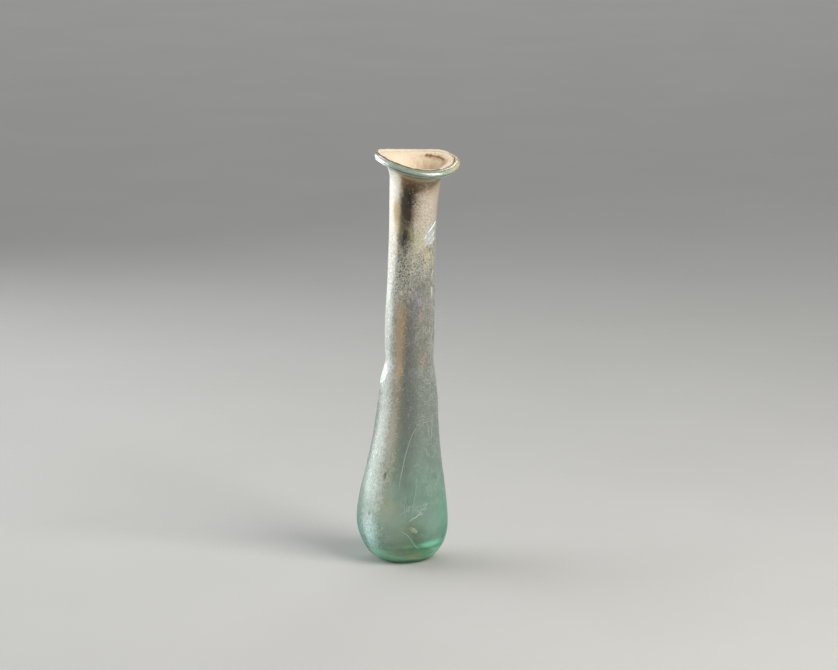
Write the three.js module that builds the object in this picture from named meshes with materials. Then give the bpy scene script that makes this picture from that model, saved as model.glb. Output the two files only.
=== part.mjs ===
// A tubular unguentarium: a small flask of blown glass for scented oil, shown as found.
// It is one hollow piece. A pear-shaped body stands on a small flattened foot and tapers to a
// shoulder, a tooled nip pinches it in, and a long slim neck ends in a flared mouth whose edge is
// folded into a round roll. The blowing left it uneven: its centre line wanders sideways and
// forwards as it climbs, and the mouth is tilted and slightly twisted out of its plane.
// Millimetres, +Z up, the origin at the centre of the foot, -Y towards the viewer.
import * as THREE from "three";

// Heights, each counted from the one before it
const bellyHeight = 11.3; // foot to the widest point
const taperLength = 34.2; // widest point to shoulder
const nipLength = 9.3; // shoulder to the tightest point of the nip
const neckLength = 48.7; // nip to the collar under the mouth
const flareHeight = 5.65; // collar to the middle of the rolled edge

// Outside radii
const footRadius = 4.9;
const bellyRadius = 12.4;
const shoulderRadius = 7.9;
const nipRadius = 6.45;
const neckSwell = 0.2; // the neck is this much wider just above the nip
const neckRadius = 6.25; // the slimmest part of the neck
const collarRadius = 6.75;
const mouthSpread = 3.75; // from the collar out to the middle of the rolled edge
const rollRadius = 0.92; // of the rolled edge's own round section

// Thickness of the glass
const floorThickness = 2.8;
const bodyWall = 1.3;
const neckWall = 1.2;
const mouthLip = 0.2; // the rolled edge stands this far above the funnel that it borders

// How the blown shape strays from a true lathe form
const bellySag = -0.28; // the belly bulges to the left of the foot
const shoulderDrift = 1.35; // sideways, at the shoulder
const nipDrift = 1.7; // sideways, at the nip
const collarDrift = 3.25; // sideways, at the collar
const mouthDrift = 3.8; // sideways, at the mouth
const forwardLean = 1.4; // towards the viewer, at the mouth
const mouthFallRight = 0.96; // the mouth's edge drops this much on the right and rises on the left
const mouthFallFront = 1.09; // it drops this much at the front and rises at the back
const mouthBendAcross = 0.59; // the edge curls up at left and right, and down at front and back
const mouthBendSlant = 0.45; // the same, between those directions
const mouthBendReach = 11; // how far below the roll the tilt fades out

// How finely the form is cut into faces
const sides = 40;
const footSteps = 8;
const wallSteps = 2; // between two stations of the wall
const nipSteps = 3; // between two stations where the wall is pinched in
const flareSteps = 6;
const rollSteps = 9;

const mix = THREE.MathUtils.lerp;
const { smoothstep } = THREE.MathUtils;
const point = (radius, height) => new THREE.Vector2(radius, height);

// The named stations of the wall, each with its height, outside radius and sideways drift
const belly = { height: bellyHeight, radius: bellyRadius, drift: bellySag };
const shoulder = { height: belly.height + taperLength, radius: shoulderRadius, drift: shoulderDrift };
const nip = { height: shoulder.height + nipLength, radius: nipRadius, drift: nipDrift };
const collar = { height: nip.height + neckLength, radius: collarRadius, drift: collarDrift };
const mouth = { height: collar.height + flareHeight, radius: collarRadius + mouthSpread, drift: mouthDrift };

// A station between two others. Each share says how far its height, radius and drift have gone
// from the lower one's to the upper one's.
function between(lower, upper, climb, radiusShare, driftShare) {
  return {
    height: mix(lower.height, upper.height, climb),
    radius: mix(lower.radius, upper.radius, radiusShare),
    drift: mix(lower.drift, upper.drift, driftShare),
  };
}

const aboveNip = { ...between(nip, collar, 0.11, 0, 0), radius: nipRadius + neckSwell };
const slimNeck = { ...between(nip, collar, 0.72, 0, 0.55), radius: neckRadius };

const stations = [
  belly,
  between(belly, shoulder, 0.19, 0.15, 0.07),
  between(belly, shoulder, 0.43, 0.48, 0.35),
  between(belly, shoulder, 0.69, 0.78, 0.67),
  shoulder,
  between(shoulder, nip, 0.54, 0.4, 0.2),
  nip,
  aboveNip,
  between(aboveNip, slimNeck, 0.54, 0.72, 0.5),
  slimNeck,
  between(slimNeck, collar, 0.6, 0.36, 0.44),
  collar,
];

// A smooth curve through values given at rising heights, level at its lower end
function curveThrough(heights, values) {
  const curve = new THREE.CubicInterpolant(heights, values, 1, [0]);
  curve.settings = { endingStart: THREE.ZeroSlopeEnding, endingEnd: THREE.ZeroCurvatureEnding };
  return (height) => curve.evaluate(height)[0];
}

const wallRadius = curveThrough(stations.map((s) => s.height), stations.map((s) => s.radius));
const driftAt = curveThrough(
  [0, belly.height / 2, ...stations.map((s) => s.height), mouth.height],
  [0, 0, ...stations.map((s) => s.drift), mouth.drift],
);

// The glass thins from the body's wall to the neck's between the shoulder and the nip.
function wallThickness(height) {
  return mix(bodyWall, neckWall, smoothstep(height, shoulder.height, nip.height));
}

// The heights at which the wall is cut into faces, from the belly up to the collar
function wallHeights() {
  const heights = [];
  for (let i = 0; i + 1 < stations.length; i++) {
    const [lower, upper] = [stations[i].height, stations[i + 1].height];
    const steps = lower >= shoulder.height && upper <= aboveNip.height ? nipSteps : wallSteps;
    for (let k = 0; k < steps; k++) heights.push(mix(lower, upper, k / steps));
  }
  return [...heights, collar.height];
}

// A quarter of an ellipse, of which place turns each sine and cosine into a point
function quarter(steps, place) {
  return Array.from({ length: steps + 1 }, (_, i) => {
    const angle = (i / steps) * (Math.PI / 2);
    return place(Math.sin(angle), Math.cos(angle));
  });
}

// The outside, from the middle of the foot up to the underside of the rolled edge
function outerProfile() {
  const underBelly = quarter(footSteps, (sin, cos) =>
    point(mix(footRadius, belly.radius, sin), belly.height * (1 - cos)),
  );
  const wall = wallHeights().slice(1).map((height) => point(wallRadius(height), height));
  const flare = quarter(flareSteps, (sin, cos) =>
    point(mix(mouth.radius, collar.radius, cos), mix(collar.height, mouth.height - rollRadius, sin)),
  );
  return [point(0, 0), ...underBelly, ...wall, ...flare.slice(1)];
}

// The folded edge's round section, from its underside outwards and over to the mouth's side
const rollStart = -Math.PI / 2;
const rollEnd = Math.PI * 0.72;
function onRoll(angle) {
  return point(mouth.radius + rollRadius * Math.cos(angle), mouth.height + rollRadius * Math.sin(angle));
}
function rollProfile() {
  return Array.from({ length: rollSteps }, (_, i) => onRoll(mix(rollStart, rollEnd, (i + 1) / rollSteps)));
}

// The inside, from the funnel of the mouth down to the middle of the cavity's floor
function innerProfile() {
  const throatRadius = collar.radius - neckWall;
  const rim = onRoll(rollEnd);
  const funnel = quarter(flareSteps, (sin, cos) =>
    point(mix(rim.x, throatRadius, cos), mix(collar.height, rim.y - mouthLip, sin)),
  );
  const wall = wallHeights().map((height) => point(wallRadius(height) - wallThickness(height), height));
  const cavityRadius = belly.radius - bodyWall;
  const floorFlat = footRadius / 2;
  const floor = quarter(footSteps, (sin, cos) =>
    point(mix(floorFlat, cavityRadius, sin), mix(belly.height, floorThickness, cos)),
  );
  return [...funnel.reverse(), ...wall.reverse().slice(1, -1), ...floor.reverse(), point(0, floorThickness)];
}

// Moves a point of the true lathe form to where the blown glass really is.
function stray(p) {
  const nearMouth = smoothstep(p.z, mouth.height - mouthBendReach, mouth.height - rollRadius);
  const across = p.x / mouth.radius;
  const deep = p.y / mouth.radius;
  const tilt = mouthFallFront * deep - mouthFallRight * across;
  const bend = mouthBendAcross * (across ** 2 - deep ** 2) + 2 * mouthBendSlant * across * deep;
  const drift = driftAt(Math.min(p.z, mouth.height));
  const lean = forwardLean * (p.z / mouth.height) ** 2;
  return p.set(p.x + drift, p.y - lean, p.z + nearMouth * (tilt + bend));
}

function vesselGeometry() {
  const profile = [...outerProfile(), ...rollProfile(), ...innerProfile()];
  const geometry = new THREE.LatheGeometry(profile, sides).rotateX(Math.PI / 2);
  const places = geometry.getAttribute("position");
  const p = new THREE.Vector3();
  for (let i = 0; i < places.count; i++) {
    stray(p.fromBufferAttribute(places, i));
    places.setXYZ(i, p.x, p.y, p.z);
  }
  geometry.computeVertexNormals();
  return geometry;
}

// Pale blue-green glass, dulled by a thin weathered skin
function weatheredGlass() {
  return new THREE.MeshStandardMaterial({
    color: 0xa9c4b8,
    roughness: 0.3,
    metalness: 0,
    transparent: true,
    opacity: 0.6,
  });
}

const vessel = new THREE.Mesh(vesselGeometry(), weatheredGlass());
vessel.name = "glass_vessel";

const unguentarium = new THREE.Group();
unguentarium.add(vessel);

export default unguentarium;
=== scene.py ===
import math
import random
from bisect import bisect_right

import bmesh
import bpy
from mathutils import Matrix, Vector, noise
from mathutils.bvhtree import BVHTree


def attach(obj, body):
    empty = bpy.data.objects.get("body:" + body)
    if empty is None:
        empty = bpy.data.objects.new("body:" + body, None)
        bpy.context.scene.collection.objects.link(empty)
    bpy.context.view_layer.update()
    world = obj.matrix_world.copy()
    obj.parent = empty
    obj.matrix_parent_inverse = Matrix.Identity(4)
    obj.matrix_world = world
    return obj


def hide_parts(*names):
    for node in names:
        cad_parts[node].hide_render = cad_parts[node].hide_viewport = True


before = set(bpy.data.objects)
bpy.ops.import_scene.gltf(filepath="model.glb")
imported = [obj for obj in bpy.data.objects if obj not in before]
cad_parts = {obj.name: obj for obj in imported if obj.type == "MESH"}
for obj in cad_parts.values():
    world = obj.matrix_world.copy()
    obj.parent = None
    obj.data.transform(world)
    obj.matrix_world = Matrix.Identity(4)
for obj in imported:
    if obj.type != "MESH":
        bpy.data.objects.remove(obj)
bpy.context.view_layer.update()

# A small flask of blown glass, weathered in the ground. The glass itself is one wall; on it lie
# a thin pearly skin outside, a stained film inside and a dried cream deposit in the mouth.
scene = bpy.context.scene
mm = 0.001
glassNode = "glass_vessel"
rootBody = "root"

# The flask's own sizes in millimetres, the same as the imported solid's. Heights are each counted
# from the one before, drifts are sideways and the lean is towards the viewer.
flask = {
    "bellyHeight": 11.3, "taperLength": 34.2, "nipLength": 9.3, "neckLength": 48.7, "flareHeight": 5.65,
    "footRadius": 4.9, "bellyRadius": 12.4, "shoulderRadius": 7.9, "nipRadius": 6.45, "neckSwell": 0.2,
    "neckRadius": 6.25, "collarRadius": 6.75, "mouthSpread": 3.75, "rollRadius": 0.92,
    "floorThickness": 2.8, "bodyWall": 1.3, "neckWall": 1.2, "mouthLip": 0.2,
    "bellySag": -0.28, "shoulderDrift": 1.35, "nipDrift": 1.7, "collarDrift": 3.25, "mouthDrift": 3.8,
    "forwardLean": 1.4, "fallRight": 0.96, "fallFront": 1.09, "bendAcross": 0.59, "bendSlant": 0.45,
    "bendReach": 11.0,
}
foldLine = {"angle": -20.0, "width": 9.0, "depth": 0.14}  # the seam where the edge was folded under


def mix(low, high, part):
    return low + (high - low) * part


def smoothStep(value, low, high):
    part = min(max((value - low) / (high - low), 0.0), 1.0)
    return part * part * (3 - 2 * part)


def curveThrough(places, values):  # a smooth curve through the values, level at its lower end
    pairs = list(zip(places, values))
    chords = [(b[1] - a[1]) / (b[0] - a[0]) for a, b in zip(pairs, pairs[1:])]
    slopes = [0.0] + [(a + b) / 2 for a, b in zip(chords, chords[1:])] + [chords[-1]]

    def at(place):
        i = min(max(bisect_right(places, place) - 1, 0), len(chords) - 1)
        span = places[i + 1] - places[i]
        t = min(max((place - places[i]) / span, 0.0), 1.0)
        rise = values[i + 1] - values[i]
        start, end = slopes[i] * span, slopes[i + 1] * span
        return values[i] + t * (start + t * (3 * rise - 2 * start - end + t * (start + end - 2 * rise)))

    return at


def between(lower, upper, *parts):  # each share says how far height, radius and drift have gone
    return tuple(mix(a, b, part) for a, b, part in zip(lower, upper, parts))


belly = (flask["bellyHeight"], flask["bellyRadius"], flask["bellySag"])
shoulder = (belly[0] + flask["taperLength"], flask["shoulderRadius"], flask["shoulderDrift"])
nip = (shoulder[0] + flask["nipLength"], flask["nipRadius"], flask["nipDrift"])
collar = (nip[0] + flask["neckLength"], flask["collarRadius"], flask["collarDrift"])
mouth = (collar[0] + flask["flareHeight"], collar[1] + flask["mouthSpread"], flask["mouthDrift"])
aboveNip = (mix(nip[0], collar[0], 0.11), nip[1] + flask["neckSwell"], nip[2])
slimNeck = (mix(nip[0], collar[0], 0.72), flask["neckRadius"], mix(nip[2], collar[2], 0.55))
stations = [
    belly,
    between(belly, shoulder, 0.19, 0.15, 0.07),
    between(belly, shoulder, 0.43, 0.48, 0.35),
    between(belly, shoulder, 0.69, 0.78, 0.67),
    shoulder,
    between(shoulder, nip, 0.54, 0.4, 0.2),
    nip,
    aboveNip,
    between(aboveNip, slimNeck, 0.54, 0.72, 0.5),
    slimNeck,
    between(slimNeck, collar, 0.6, 0.36, 0.44),
    collar,
]
wallRadius = curveThrough([s[0] for s in stations], [s[1] for s in stations])
driftAt = curveThrough(
    [0.0, belly[0] / 2] + [s[0] for s in stations] + [mouth[0]],
    [0.0, 0.0] + [s[2] for s in stations] + [mouth[2]],
)


def wallThickness(height):
    return mix(flask["bodyWall"], flask["neckWall"], smoothStep(height, shoulder[0], nip[0]))


def quarter(steps, place):  # a quarter of an ellipse, from its side to its end
    turns = [math.pi / 2 * i / steps for i in range(steps + 1)]
    return [place(math.sin(turn), math.cos(turn)) for turn in turns]


def climb(low, high, steps):
    return [mix(low, high, i / steps) for i in range(steps + 1)]


# How many rows of faces each stretch of the outline gets
fineness = {"foot": 6, "underBelly": 34, "wall": 168, "flare": 22, "roll": 56, "funnel": 22, "inside": 92}


def outsideRun():  # (radius, height) from the foot's middle to the underside of the rolled edge
    foot = [(radius, 0.0) for radius in climb(0.0, flask["footRadius"], fineness["foot"])]
    under = quarter(fineness["underBelly"], lambda sin, cos: (
        mix(flask["footRadius"], belly[1], sin), belly[0] * (1 - cos)))
    wall = [(wallRadius(h), h) for h in climb(belly[0], collar[0], fineness["wall"])]
    flare = quarter(fineness["flare"], lambda sin, cos: (
        mix(mouth[1], collar[1], cos), mix(collar[0], mouth[0] - flask["rollRadius"], sin)))
    return foot[:-1] + under + wall[1:] + flare[1:]


def onRoll(angle):  # the rolled edge's round section, nicked along the fold
    off = (math.degrees(angle) - foldLine["angle"]) / foldLine["width"]
    nick = foldLine["depth"] * math.exp(-(off ** 2))
    reach = flask["rollRadius"] - nick
    return mouth[1] + reach * math.cos(angle), mouth[0] + reach * math.sin(angle)


rollEnd = math.pi * 0.72


def rollRun():
    return [onRoll(angle) for angle in climb(-math.pi / 2, rollEnd, fineness["roll"])][1:]


def insideRun():  # from the mouth's funnel down to the middle of the cavity's floor
    throat = collar[1] - flask["neckWall"]
    rimRadius, rimHeight = onRoll(rollEnd)
    funnel = quarter(fineness["funnel"], lambda sin, cos: (
        mix(rimRadius, throat, cos), mix(collar[0], rimHeight - flask["mouthLip"], sin)))
    wall = [(wallRadius(h) - wallThickness(h), h) for h in climb(belly[0], collar[0], fineness["inside"])]
    floorFlat = flask["footRadius"] / 2
    under = quarter(fineness["underBelly"] // 2, lambda sin, cos: (
        mix(floorFlat, belly[1] - flask["bodyWall"], sin), mix(belly[0], flask["floorThickness"], cos)))
    flat = [(radius, flask["floorThickness"]) for radius in climb(floorFlat, 0.0, 3)]
    return funnel[::-1] + wall[::-1][1:-1] + under[::-1] + flat[1:]


def withNormals(run):  # adds to each point the direction that leads away from the glass
    rows = []
    for i, (radius, height) in enumerate(run):
        before, after = run[max(i - 1, 0)], run[min(i + 1, len(run) - 1)]
        along = Vector((after[0] - before[0], after[1] - before[1])).normalized()
        rows.append((radius, height, along.y, -along.x))
    return rows


def shifted(rows, distances):
    return [(max(r + nr * d, 0.0), h + nh * d, nr, nh) for (r, h, nr, nh), d in zip(rows, distances)]


def coatOn(rows, near, far, thinning=4):  # a closed coat over a run, thinned towards its ends: its
    # free face first, then back along the glass
    last = len(rows) - 1
    ends = [min(i, last - i if rows[-1][0] > 0.001 else last) for i in range(len(rows))]
    free = shifted(rows, [mix(near + 0.01, far, smoothStep(end, 0, thinning)) for end in ends])
    bonded = shifted(rows, [near] * len(rows))
    loop = [row + (1.0,) for row in free] + [row + (0.0,) for row in reversed(bonded)]
    return loop + loop[:1]


print("stage: outline worked out")


wiring = {"tree": None}  # the node tree that the helpers below work in


def fill(socket, value):  # gives a socket its plain value, or a link from another node
    if isinstance(value, bpy.types.NodeSocket):
        wiring["tree"].links.new(value, socket)
    else:
        socket.default_value = value


def addNode(kind, settings=None, inputs=None):
    made = wiring["tree"].nodes.new(kind)
    for name, value in (settings or {}).items():
        setattr(made, name, value)
    for key, value in (inputs or {}).items():
        fill(made.inputs[key], value)
    return made


def firstOf(kind, settings=None, inputs=None):  # the first output of a new node
    return addNode(kind, settings, inputs).outputs[0]


def doMath(operation, first, second=0.0, third=0.0, clamp=False):
    settings = {"operation": operation, "use_clamp": clamp}
    return firstOf("ShaderNodeMath", settings, {0: first, 1: second, 2: third})


def joinedBy(operation):  # a helper that joins any number of values, one after another
    def join(first, *others):
        for other in others:
            first = doMath(operation, first, other)
        return first

    return join


product, total, less, ratio = joinedBy("MULTIPLY"), joinedBy("ADD"), joinedBy("SUBTRACT"), joinedBy("DIVIDE")
larger, smaller = joinedBy("MAXIMUM"), joinedBy("MINIMUM")


def doVector(operation, first, second):
    return firstOf("ShaderNodeVectorMath", {"operation": operation}, {0: first, 1: second})


def scaleVector(vector, factor):
    return firstOf("ShaderNodeVectorMath", {"operation": "SCALE"}, {0: vector, "Scale": factor})


def makeVector(x, y, z):
    return firstOf("ShaderNodeCombineXYZ", None, {0: x, 1: y, 2: z})


def splitVector(vector):
    return addNode("ShaderNodeSeparateXYZ", None, {0: vector}).outputs


def remap(value, low, high, start=0.0, end=1.0, curve="SMOOTHSTEP"):
    settings = {"interpolation_type": curve, "clamp": True}
    return firstOf("ShaderNodeMapRange", settings, {0: value, 1: low, 2: high, 3: start, 4: end})


def noiseOf(vector, scale, detail=2.0, rough=0.5, twist=0.0):
    inputs = {"Vector": vector, "Scale": scale, "Detail": detail, "Roughness": rough, "Distortion": twist}
    return firstOf("ShaderNodeTexNoise", None, inputs)


def named(name, dataType="FLOAT"):  # a value stored on the mesh under this name
    return firstOf("GeometryNodeInputNamedAttribute", {"data_type": dataType}, {"Name": name})


def openGroup(name, kind, inputs, outputs):  # a socket's kind is given, or follows from its value
    tree = bpy.data.node_groups.new(name, kind)
    wiring["tree"] = tree
    kinds = {float: "Float", int: "Int", tuple: "Vector"}
    for label, value in inputs.items():
        known = kinds.get(type(value))
        made = tree.interface.new_socket(label, in_out="INPUT", socket_type="NodeSocket" + (known or value))
        if known:
            made.default_value = value
    for label, given in outputs.items():
        tree.interface.new_socket(label, in_out="OUTPUT", socket_type="NodeSocket" + given)
    return tree, tree.nodes.new("NodeGroupInput").outputs, tree.nodes.new("NodeGroupOutput").inputs


def endTree(tree, mesh, given, result):  # each tree ends in smooth, real geometry with its material
    smooth = firstOf("GeometryNodeSetShadeSmooth", None, {"Geometry": mesh})
    real = firstOf("GeometryNodeRealizeInstances", None, {"Geometry": smooth})
    fill(result, firstOf("GeometryNodeSetMaterial", None, {"Geometry": real, "Material": given["Finish"]}))
    return tree


# Turns an outline round the flask's axis, lets the surface wander as blown glass does, and then
# bends it to the real drift, lean and tilted mouth
def makeBlownWall():
    tree, given, result = openGroup("blownWall", "GeometryNodeTree", {
        "Outline": "Geometry", "Sides": 160, "Mouth Height": 0.1, "Mouth Radius": 0.01,
        "Roll Radius": 0.001, "Forward Lean": 0.0, "Fall Right": 0.0, "Fall Front": 0.0,
        "Bend Across": 0.0, "Bend Slant": 0.0, "Bend Reach": 0.01, "Wave Size": 0.01,
        "Wave Height": 0.0, "Crust Size": 0.001, "Crust Height": 0.0, "Finish": "Material",
    }, {"Wall": "Geometry"})

    def whole(operation, first, second):  # sums with whole numbers
        return firstOf("FunctionNodeIntegerMath", {"operation": operation}, {0: first, 1: second})

    rows = addNode("GeometryNodeAttributeDomainSize", None, {0: given["Outline"]}).outputs["Point Count"]
    columns = whole("ADD", given["Sides"], 1)
    grid = firstOf("GeometryNodeMeshGrid", None, {"Vertices X": rows, "Vertices Y": columns})
    index = firstOf("GeometryNodeInputIndex")
    row, column = whole("DIVIDE", index, columns), whole("MODULO", index, columns)

    def sampled(field, dataType="FLOAT"):
        settings = {"data_type": dataType, "domain": "POINT"}
        return firstOf("GeometryNodeSampleIndex", settings, {0: given["Outline"], 1: field, 2: row})

    outline = splitVector(sampled(firstOf("GeometryNodeInputPosition"), "FLOAT_VECTOR"))
    away = splitVector(sampled(named("away", "FLOAT_VECTOR"), "FLOAT_VECTOR"))
    drift, free = sampled(named("drift")), sampled(named("free"))
    turn = product(ratio(column, given["Sides"]), math.tau)
    cosine, sine = doMath("COSINE", turn), doMath("SINE", turn)

    def spun(parts):
        return makeVector(product(parts[0], cosine), product(parts[0], sine), parts[2])

    lathe = spun(outline)
    wave = less(noiseOf(lathe, ratio(1.0, given["Wave Size"]), 1.0), 0.5)
    wave = product(wave, given["Wave Height"], 2.0, remap(outline[2], 0.5 * mm, 5 * mm))
    crust = remap(noiseOf(lathe, ratio(1.0, given["Crust Size"]), 4.0, 0.6), 0.3, 0.75)
    crust = product(crust, given["Crust Height"], free)
    x, y, z = splitVector(doVector("ADD", lathe, scaleVector(spun(away), total(wave, crust))))

    across, deep = ratio(x, given["Mouth Radius"]), ratio(y, given["Mouth Radius"])
    tilt = less(product(deep, given["Fall Front"]), product(across, given["Fall Right"]))
    squares = less(product(across, across), product(deep, deep))
    slant = product(across, deep, 2.0)
    bend = total(product(squares, given["Bend Across"]), product(slant, given["Bend Slant"]))
    nearMouth = remap(z, less(given["Mouth Height"], given["Bend Reach"]),
                      less(given["Mouth Height"], given["Roll Radius"]))
    climbed = ratio(z, given["Mouth Height"])
    lean = product(climbed, climbed, given["Forward Lean"])
    place = makeVector(total(x, drift), less(y, lean), total(z, product(total(tilt, bend), nearMouth)))

    stored = firstOf("GeometryNodeStoreNamedAttribute", {"data_type": "FLOAT_VECTOR", "domain": "POINT"},
                     {"Geometry": grid, "Name": "lathePlace", "Value": lathe})
    moved = firstOf("GeometryNodeSetPosition", None, {"Geometry": stored, "Position": place})
    merged = firstOf("GeometryNodeMergeByDistance", None, {"Geometry": moved, "Distance": 0.002 * mm})
    return endTree(tree, merged, given, result["Wall"])


def meshFrom(source, tree, values):  # runs a tree on an object and gives back its mesh alone
    modifier = source.modifiers.new(tree.name, "NODES")
    modifier.node_group = tree
    for item in tree.interface.items_tree:
        if item.in_out == "INPUT" and item.name in values:
            modifier[item.identifier] = values[item.name]
    mesh = bpy.data.meshes.new_from_object(source.evaluated_get(bpy.context.evaluated_depsgraph_get()))
    source.modifiers.remove(modifier)
    return mesh


def facesOutward(mesh):
    work = bmesh.new()
    work.from_mesh(mesh)
    bare = [edge for edge in work.edges if not edge.link_faces]
    bmesh.ops.delete(work, geom=bare, context="EDGES")
    bmesh.ops.recalc_face_normals(work, faces=work.faces)
    openEdges = sum(1 for edge in work.edges if len(edge.link_faces) != 2)
    work.to_mesh(mesh)
    work.free()
    return openEdges


def addPiece(name, mesh):
    piece = bpy.data.objects.new(name, mesh)
    scene.collection.objects.link(piece)
    print("piece:", name, len(mesh.polygons), "faces,", facesOutward(mesh), "open edges")
    return piece


def outlineObject(name, rows):
    mesh = bpy.data.meshes.new(name)
    mesh.from_pydata([(row[0] * mm, 0.0, row[1] * mm) for row in rows],
                     [(i, i + 1) for i in range(len(rows) - 1)], [])
    drift = mesh.attributes.new("drift", "FLOAT", "POINT")
    free = mesh.attributes.new("free", "FLOAT", "POINT")
    away = mesh.attributes.new("away", "FLOAT_VECTOR", "POINT")
    for i, row in enumerate(rows):
        drift.data[i].value = driftAt(min(row[1], mouth[0])) * mm
        free.data[i].value = row[4] if len(row) > 4 else 0.0
        away.data[i].vector = (row[2], 0.0, row[3])
    source = bpy.data.objects.new(name, mesh)
    scene.collection.objects.link(source)
    return source


# How far apart and how high the glass's own waves are, how many sides a wall gets, and how wide
# and high the cream's crust is
blowing = {"waveSize": 9.0, "waveHeight": 0.09, "sides": 176, "filmSides": 144, "crust": (1.6, 0.16)}


def blowWall(name, rows, finish, sides=blowing["sides"], crust=(1.0, 0.0)):
    source = outlineObject(name + "Outline", rows)
    lengths = {
        "Mouth Height": mouth[0], "Mouth Radius": mouth[1], "Roll Radius": flask["rollRadius"],
        "Forward Lean": flask["forwardLean"], "Fall Right": flask["fallRight"],
        "Fall Front": flask["fallFront"], "Bend Across": flask["bendAcross"],
        "Bend Slant": flask["bendSlant"], "Bend Reach": flask["bendReach"],
        "Wave Size": blowing["waveSize"], "Wave Height": blowing["waveHeight"],
        "Crust Size": crust[0], "Crust Height": crust[1],
    }
    values = {label: length * mm for label, length in lengths.items()}
    mesh = meshFrom(source, blownWall, values | {"Sides": sides, "Finish": finish})
    bpy.data.objects.remove(source)
    return addPiece(name, mesh)


def tone(red, green, blue):  # a colour as the eye names it, 0 to 255, in the shader's own linear scale
    parts = [part / 255 for part in (red, green, blue)]
    return tuple(p / 12.92 if p <= 0.04045 else ((p + 0.055) / 1.055) ** 2.4 for p in parts) + (1.0,)


# Where a point lies on the flask before it was bent: turn from the front in degrees, height and
# place in millimetres
def makeFlaskPlace():
    tree, given, result = openGroup("flaskPlace", "ShaderNodeTree", {"Reach": 1000.0},
                                    {"Turn": "Float", "Height": "Float", "Place": "Vector"})
    stored = addNode("ShaderNodeAttribute", {"attribute_type": "GEOMETRY", "attribute_name": "lathePlace"})
    place = scaleVector(stored.outputs["Vector"], given["Reach"])
    x, y, z = splitVector(place)
    fill(result["Turn"], product(doMath("ARCTAN2", x, product(y, -1.0)), 180 / math.pi))
    fill(result["Height"], z)
    fill(result["Place"], place)
    return tree


# How far round the rolled edge a point lies, in degrees up from straight out, and whether it is on it
def makeRollPlace():
    tree, given, result = openGroup("rollPlace", "ShaderNodeTree", {
        "Place": (0.0, 0.0, 0.0), "Roll Out": mouth[1], "Roll Up": mouth[0],
    }, {"Angle": "Float", "Near": "Float"})
    x, y, z = splitVector(given["Place"])
    out = addNode("ShaderNodeVectorMath", {"operation": "LENGTH"}, {0: makeVector(x, y, 0.0)})
    out = less(out.outputs["Value"], given["Roll Out"])
    up = less(z, given["Roll Up"])
    apart = doMath("SQRT", total(product(out, out), product(up, up)))
    fill(result["Angle"], product(doMath("ARCTAN2", up, out), 180 / math.pi))
    fill(result["Near"], remap(apart, 1.2, 1.5, 1.0, 0.0))
    return tree


def drawBlot(given):  # a blot with a ragged edge, round one spot of the wall
    off = doMath("WRAP", less(given["Turn"], given["At Turn"]), 180.0, -180.0)
    aside = ratio(off, given["Wide"])
    above = ratio(less(given["Height"], given["At Height"]), given["Tall"])
    apart = doMath("SQRT", total(product(aside, aside), product(above, above)))
    ragged = less(noiseOf(given["Place"], ratio(1.0, given["Grain"]), 4.0, 0.62), 0.5)
    edge = total(apart, product(ragged, given["Raggedness"], 2.0))
    return remap(edge, less(1.0, given["Softness"]), total(1.0, given["Softness"]), 1.0, 0.0)


def drawSpecks(given):  # scattered dots: their spacing, the share that shows, and each one's size
    inputs = {"Vector": given["Place"], "Scale": ratio(1.0, given["Spacing"])}
    cells = addNode("ShaderNodeTexVoronoi", {"feature": "F1"}, inputs).outputs
    chosen = doMath("LESS_THAN", splitVector(cells["Color"])[0], given["Share"])
    return product(chosen, remap(cells["Distance"], product(given["Size"], 0.5), given["Size"], 1.0, 0.0))


def drawStreaks(given):  # fine upright streaks, drawn out as the neck was pulled
    side, tall = ratio(1.0, given["Width"]), ratio(1.0, given["Length"])
    drawn = doVector("MULTIPLY", given["Place"], makeVector(side, side, tall))
    value = noiseOf(drawn, 1.0, 3.0, 0.6)
    return remap(value, less(0.52, given["Sharpness"]), total(0.52, given["Sharpness"]))


def drawMottle(given):  # cloudy patches at one scale
    moved = doVector("ADD", given["Place"], makeVector(given["Shift"], given["Shift"], 0.0))
    value = noiseOf(moved, ratio(1.0, given["Size"]), 5.0, 0.6, 0.3)
    return remap(value, less(0.5, given["Sharpness"]), total(0.5, given["Sharpness"]))


def drawCrackNet(given):  # a net of cell walls, as where a film has shrunk and cracked
    strayed = addNode("ShaderNodeTexNoise", None, {"Vector": given["Place"], "Scale": 1.1, "Detail": 2.0})
    warped = doVector("ADD", given["Place"], scaleVector(strayed.outputs["Color"], 0.9))
    warped = doVector("MULTIPLY", warped, makeVector(1.0, 1.0, given["Upright"]))
    inputs = {"Vector": warped, "Scale": ratio(1.0, given["Cell"])}
    cells = addNode("ShaderNodeTexVoronoi", {"feature": "DISTANCE_TO_EDGE"}, inputs).outputs
    return remap(cells["Distance"], 0.0, given["Width"], 1.0, 0.0)


def maskGroup(name, inputs, draw):  # a shader group that gives one mask
    inputs = {"Place": (0.0, 0.0, 0.0)} | inputs
    tree, given, result = openGroup(name, "ShaderNodeTree", inputs, {"Mask": "Float"})
    fill(result["Mask"], draw(given))
    return tree


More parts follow.
